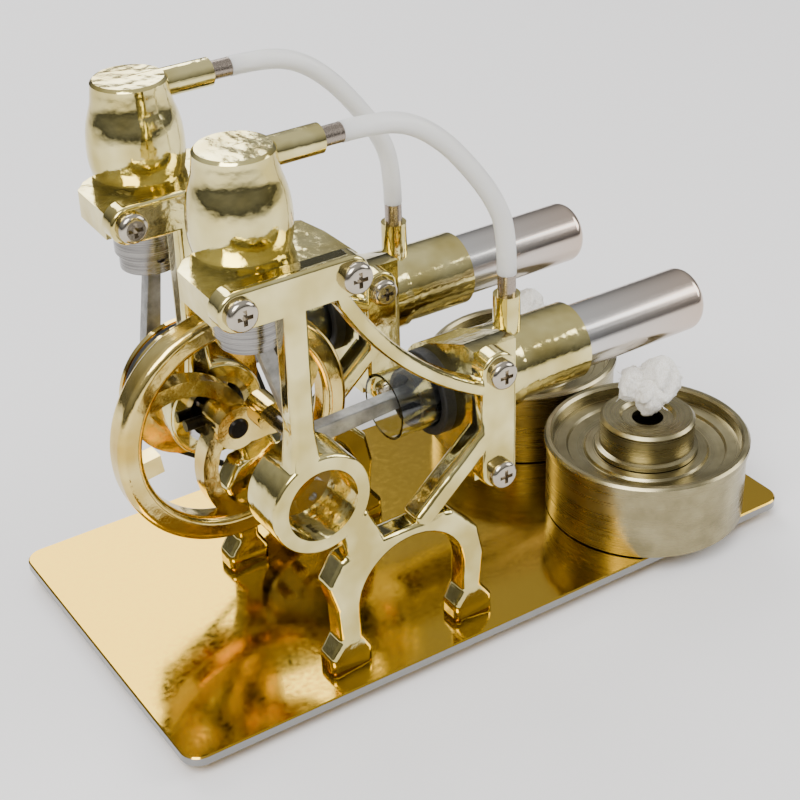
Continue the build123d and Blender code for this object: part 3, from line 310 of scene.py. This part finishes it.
def cotton():
    """Bleached cotton wick: bright, dry fibres with warm shade between them."""
    material, tree, shader, point = start_material("cotton_wick", {
        "Roughness": 0.95, "Sheen Weight": 0.4, "Sheen Roughness": 0.5,
        "Subsurface Weight": 0.2, "Subsurface Radius": (0.001, 0.001, 0.0008)})
    fibre = add_node(tree, "TexNoise", {"Vector": point, "Scale": 1 / (0.3 * MM), "Detail": 4.0})
    vary_colour(tree, shader, fibre.outputs["Fac"], "#DCD6C8", "#F7F5EF")
    raise_surface(tree, shader, fibre.outputs["Fac"], 0.08 * MM, 0.5)
    return material


def make_finishes():
    """One material for each slot of the record."""
    return {
        "frame_gold": plated_casting("gold_plated_casting", "#C6B56E", "#EADD9C", 0.09, 0.28 * MM),
        "wheel_gold": plated_casting("gold_plated_wheel", "#C8A850", "#EAD488", 0.11, 0.16 * MM),
        "plate_gold": polished_sheet(),
        "stainless": heated_stainless(),
        "liner_steel": turned_metal("turned_steel_liner", "#6F6D6A", "#9A9792", 0.22, "z", 0.25 * MM),
        "dark_steel": plain_metal("ground_dark_steel", "#5A5652", 0.22, 0.3 * MM),
        "bearing_steel": plain_metal("bearing_steel", "#C6C6C8", 0.12, 0.3 * MM),
        "motor_can": turned_metal("plated_motor_can", "#B9B0A0", "#D6CFC2", 0.18, "y", 0.3 * MM),
        "screw_nickel": plain_metal("nickel_plated_screw", "#B4AB9B", 0.15, 0.4 * MM),
        "ferrule_nickel": plain_metal("dull_nickel_ferrule", "#9A8E82", 0.26, 0.25 * MM),
        "cast_zinc": cast_zinc(),
        "graphite": turned_graphite(),
        "glass": clear_glass(),
        "silicone": milky_silicone(),
        "black_rubber": moulded_rubber("black_rubber", "#141414", 0.62),
        "black_oxide": plain_metal("black_oxide_steel", "#24221F", 0.32, 0.3 * MM),
        "lamp_tin": spun_tin(),
        "cotton": cotton(),
        "pulley_plastic": moulded_rubber("black_acetal", "#1C1C1D", 0.38),
        "terminal_brass": plain_metal("tinned_brass_tag", "#C9B98A", 0.25, 0.3 * MM),
    }


# ------------------------------------------------------------------ pieces
def set_finish(piece, slot):
    """Give a piece one material by its slot."""
    piece.data.materials.clear()
    piece.data.materials.append(finishes[slot])


MERGE_DISTANCE = 0.003 * MM
FLAT_ANGLE = radians(0.4)
BEVEL_ANGLE = radians(32)
SHARP_ANGLE = radians(40)


def soften(node, slot, width=0.0):
    """Cast or turned piece shaded smoothly, with rounded edges.

    The CAD surface is copied and its doubled points are merged. With a width, its flat faces
    are made whole and every edge sharper than BEVEL_ANGLE gets a bevel of that width. With
    none, the roundings that the casting has are only shaded smoothly, and sharp edges stay.
    """
    mesh = frame["nodes"][node].data.copy()
    work = bmesh.new()
    work.from_mesh(mesh)
    bmesh.ops.remove_doubles(work, verts=work.verts, dist=MERGE_DISTANCE)
    if width:
        bmesh.ops.dissolve_limit(work, angle_limit=FLAT_ANGLE, verts=work.verts, edges=work.edges)
    work.to_mesh(mesh)
    work.free()
    mesh.polygons.foreach_set("use_smooth", np.ones(len(mesh.polygons), dtype=bool))
    mesh.update()
    piece = link(bpy.data.objects.new(node + "_finished", mesh))
    if width:
        bevel = piece.modifiers.new("rounded edges", "BEVEL")
        bevel.width = width
        bevel.segments = 3
        bevel.limit_method = "ANGLE"
        bevel.angle_limit = BEVEL_ANGLE
        bevel.miter_outer = "MITER_ARC"
    else:
        mesh.set_sharp_from_angle(angle=SHARP_ANGLE)
    weights = piece.modifiers.new("flat shading kept", "WEIGHTED_NORMAL")
    weights.keep_sharp = not width
    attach(piece, body_of_node[node])
    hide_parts(node)
    set_finish(piece, slot)
    return piece


AIR_TUBE_RADIUS = 2.0 * MM
SHAFT_PLACE = (-39.8 * MM, 45.75 * MM)
AIR_TUBE_ROUTE = (
    (18.7, 63.1), (26.6, 63.1), (34.3, 60.9), (41.2, 55.6),
    (47.2, 48.6), (52.4, 41.2), (55.8, 33.2), (55.8, 23.5),
)


def make_air_tube(unit):
    """Silicone hose: a round tube on a smooth curve from the head's barb to the housing's.

    Its radius is set at the points and its bevel is 1 m, so that its box stays close to it.
    """
    node = f"{unit}_air_tube"
    depth = centre(node)[1]
    shaft_x, shaft_z = SHAFT_PLACE
    points = [(shaft_x + x * MM, depth, shaft_z + z * MM) for x, z in AIR_TUBE_ROUTE]
    curve = bpy.data.curves.new(node + "_hose", "CURVE")
    curve.dimensions = "3D"
    curve.bevel_depth = 1.0
    curve.bevel_resolution = 8
    curve.resolution_u = 16
    curve.use_fill_caps = True
    spline = curve.splines.new("NURBS")
    spline.points.add(len(points) - 1)
    for target, point in zip(spline.points, points):
        target.co = (*point, 1.0)
        target.radius = AIR_TUBE_RADIUS
    spline.order_u = 3
    spline.use_endpoint_u = True
    hose = link(bpy.data.objects.new(node + "_hose", curve))
    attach(hose, "root")
    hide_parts(node)
    return hose


TUFT_STEPS = 30
TUFT_SIDES = 44
FIBRES = 110
FIBRE_STEPS = 6
FIBRE_RADIUS = 0.07 * MM
TUFTS = (
    ((0.0, 0.0, -14.0), (0.3, -0.2, -1.0), 3.4), ((0.6, -0.9, -10.0), (2.0, -2.0, 0.8), 4.2),
    ((-0.4, 0.8, -9.5), (-4.4, 2.6, -2.8), 4.0), ((0.8, 0.4, -9.0), (4.2, 0.0, -3.4), 3.4),
    ((-0.8, -0.8, -9.0), (-2.6, -3.9, -3.9), 3.5),
)


def rounded_tube(middles, radii, sides):
    """Points of a tube round a line of middles, with a radius for every point of it."""
    along = np.gradient(middles, axis=0)
    along /= np.linalg.norm(along, axis=1)[:, None]
    across = np.cross(along, (0.31, 0.95, 0.05))
    across /= np.linalg.norm(across, axis=1)[:, None]
    third = np.cross(along, across)
    around = np.linspace(0, 2 * np.pi, sides, endpoint=False)
    outward = (across[:, None] * np.cos(around)[None, :, None]
               + third[:, None] * np.sin(around)[None, :, None])
    return middles[:, None] + outward * radii[..., None]


def tuft(base, tip, width, draw):
    """Lump of fluffed cotton between two points: a rounded profile, roughened by waves and noise."""
    t = np.linspace(0.002, 0.998, TUFT_STEPS)
    around = np.linspace(0, 2 * np.pi, TUFT_SIDES, endpoint=False)
    profile = np.sqrt(np.sin(np.pi * t ** 0.85))
    rough = np.ones((TUFT_STEPS, TUFT_SIDES))
    for count in (2, 3, 5, 7, 11):
        turn, shift = draw.uniform(0, 6.28, 2)
        across = np.sin(count * around + turn)
        lengthwise = np.sin(1.6 * count * t + shift)[:, None]
        rough += 0.22 / count ** 0.5 * across * lengthwise
    rough += draw.normal(0, 0.03, rough.shape)
    middles = base + (tip - base) * t[:, None]
    return rounded_tube(middles, width * profile[:, None] * rough, TUFT_SIDES)


def fibre(start, outward, draw):
    """One loose curled hair of cotton that leaves the lump."""
    t = np.linspace(0, 1, FIBRE_STEPS)[:, None]
    curl = draw.normal(0, 0.5, 3)
    middles = start + (outward * t + curl * t ** 2) * draw.uniform(0.5, 1.1) * MM
    return rounded_tube(middles, np.full((FIBRE_STEPS, 3), FIBRE_RADIUS), 3)


def closed_faces(steps, sides, first):
    """Faces of one closed tube whose points start at a given number."""
    index = first + np.arange(steps * sides).reshape(steps, sides)
    after = np.roll(index, -1, axis=1)
    quads = np.stack([index[:-1], after[:-1], after[1:], index[1:]], axis=-1).reshape(-1, 4)
    return [*quads.tolist(), index[0, ::-1].tolist(), index[-1].tolist()]


def make_wick(unit, turn, rise):
    """Frayed cotton wick: a fluffed mass of five tufts above the lid, with loose hairs.

    The tufts are turned about the wick's axis and raised or lowered for each lamp.
    """
    node = f"{unit}_wick"
    _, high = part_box(node)
    x, y, _ = centre(node)
    top = Vector((x, y, high[2] + rise * MM))
    draw = np.random.default_rng(7 if unit == "front" else 8)
    spin = Matrix.Rotation(radians(turn), 3, "Z")
    tubes = [tuft(np.array(top + spin @ Vector(base) * MM), np.array(top + spin @ Vector(tip) * MM),
                  width * MM, draw) for base, tip, width in TUFTS]
    for _ in range(FIBRES):
        lump = tubes[draw.integers(len(TUFTS))]
        row = draw.integers(TUFT_STEPS // 2, TUFT_STEPS - 1)
        start = lump[row, draw.integers(TUFT_SIDES)]
        outward = start - lump[row].mean(axis=0)
        tubes.append(fibre(start, outward / np.linalg.norm(outward), draw))
    points = []
    faces = []
    for tube in tubes:
        faces += closed_faces(tube.shape[0], tube.shape[1], len(points))
        points += tube.reshape(-1, 3).tolist()
    mesh = bpy.data.meshes.new(node + "_cotton")
    mesh.from_pydata(points, [], faces)
    mesh.polygons.foreach_set("use_smooth", np.ones(len(mesh.polygons), dtype=bool))
    mesh.update()
    wick = link(bpy.data.objects.new(node + "_cotton", mesh))
    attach(wick, f"{unit}_lamp")
    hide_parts(node)
    set_finish(wick, "cotton")
    return wick


# ------------------------------------------------------------------ stage
FLOOR_REACH = 3.0
SKY_STRENGTH = 0.7
LIGHTS = (
    ("key", (-0.45, -0.35, 0.75), 0.5, 10.0),
    ("fill", (0.7, -0.35, 0.45), 0.45, 4.0),
    ("back", (0.1, 0.8, 0.7), 0.6, 7.0),
)


def make_stage():
    """Pale plain floor, three large soft lights and a sky that is dark near the horizon.

    The dark band gives the plated metal its contrast.
    """
    corners = [(x * FLOOR_REACH, y * FLOOR_REACH, 0) for x, y in ((-1, -1), (1, -1), (1, 1), (-1, 1))]
    mesh = bpy.data.meshes.new("floor")
    mesh.from_pydata(corners, [], [(0, 1, 2, 3)])
    floor = link(bpy.data.objects.new("floor", mesh))
    material = start_material("painted_paper", {"Base Color": srgb("#F1EFEF"), "Roughness": 0.8})[0]
    floor.data.materials.append(material)
    world = bpy.data.worlds.new("studio")
    world.use_nodes = True
    sky = world.node_tree
    height = add_node(sky, "SeparateXYZ", {"Vector": add_node(sky, "TexCoord").outputs["Generated"]})
    ramp = add_node(sky, "ValToRGB", {"Fac": height.outputs["Z"]})
    ramp.color_ramp.elements[0].color = srgb("#5E6062")
    ramp.color_ramp.elements[1].color = srgb("#FFFFFF")
    ramp.color_ramp.elements[1].position = 0.8
    sky.links.new(ramp.outputs["Color"], sky.nodes["Background"].inputs["Color"])
    sky.nodes["Background"].inputs["Strength"].default_value = SKY_STRENGTH
    bpy.context.scene.world = world
    for name, place, size, power in LIGHTS:
        data = bpy.data.lights.new(name, "AREA")
        data.size = size
        data.energy = power
        lamp = link(bpy.data.objects.new(name, data))
        lamp.location = place
        lamp.rotation_euler = (Vector((0, 0, 0.05)) - Vector(place)).to_track_quat("-Z", "Y").to_euler()


# ------------------------------------------------------------------ put together
make_camera()
hoses = [make_air_tube(unit) for unit in UNITS]
finishes = make_finishes()
for hose in hoses:
    set_finish(hose, "silicone")

bodies = frame["record"]["behaviour"]["bodies"]
body_of_node = {node: body for body, nodes in bodies.items() for node in nodes}
slot_of_node = {row["node"]: row["material_slot"] for row in frame["record"]["subparts"]}
for node, obj in frame["nodes"].items():
    obj.data.materials.clear()
    obj.data.materials.append(finishes[slot_of_node[node]])

EDGE_WIDTHS = {
    "frame": 0.0, "power_head": 0.8, "hot_housing": 0.8, "power_rod": 0.3, "hot_rod": 0.3,
}
for unit in UNITS:
    for part, width in EDGE_WIDTHS.items():
        node = f"{unit}_{part}"
        soften(node, slot_of_node[node], width * MM)
soften("flywheel", "wheel_gold", 1.0 * MM)

make_wick("front", 0, 1.6)
make_wick("rear", 60, -2.6)
make_stage()

bpy.context.view_layer.update()
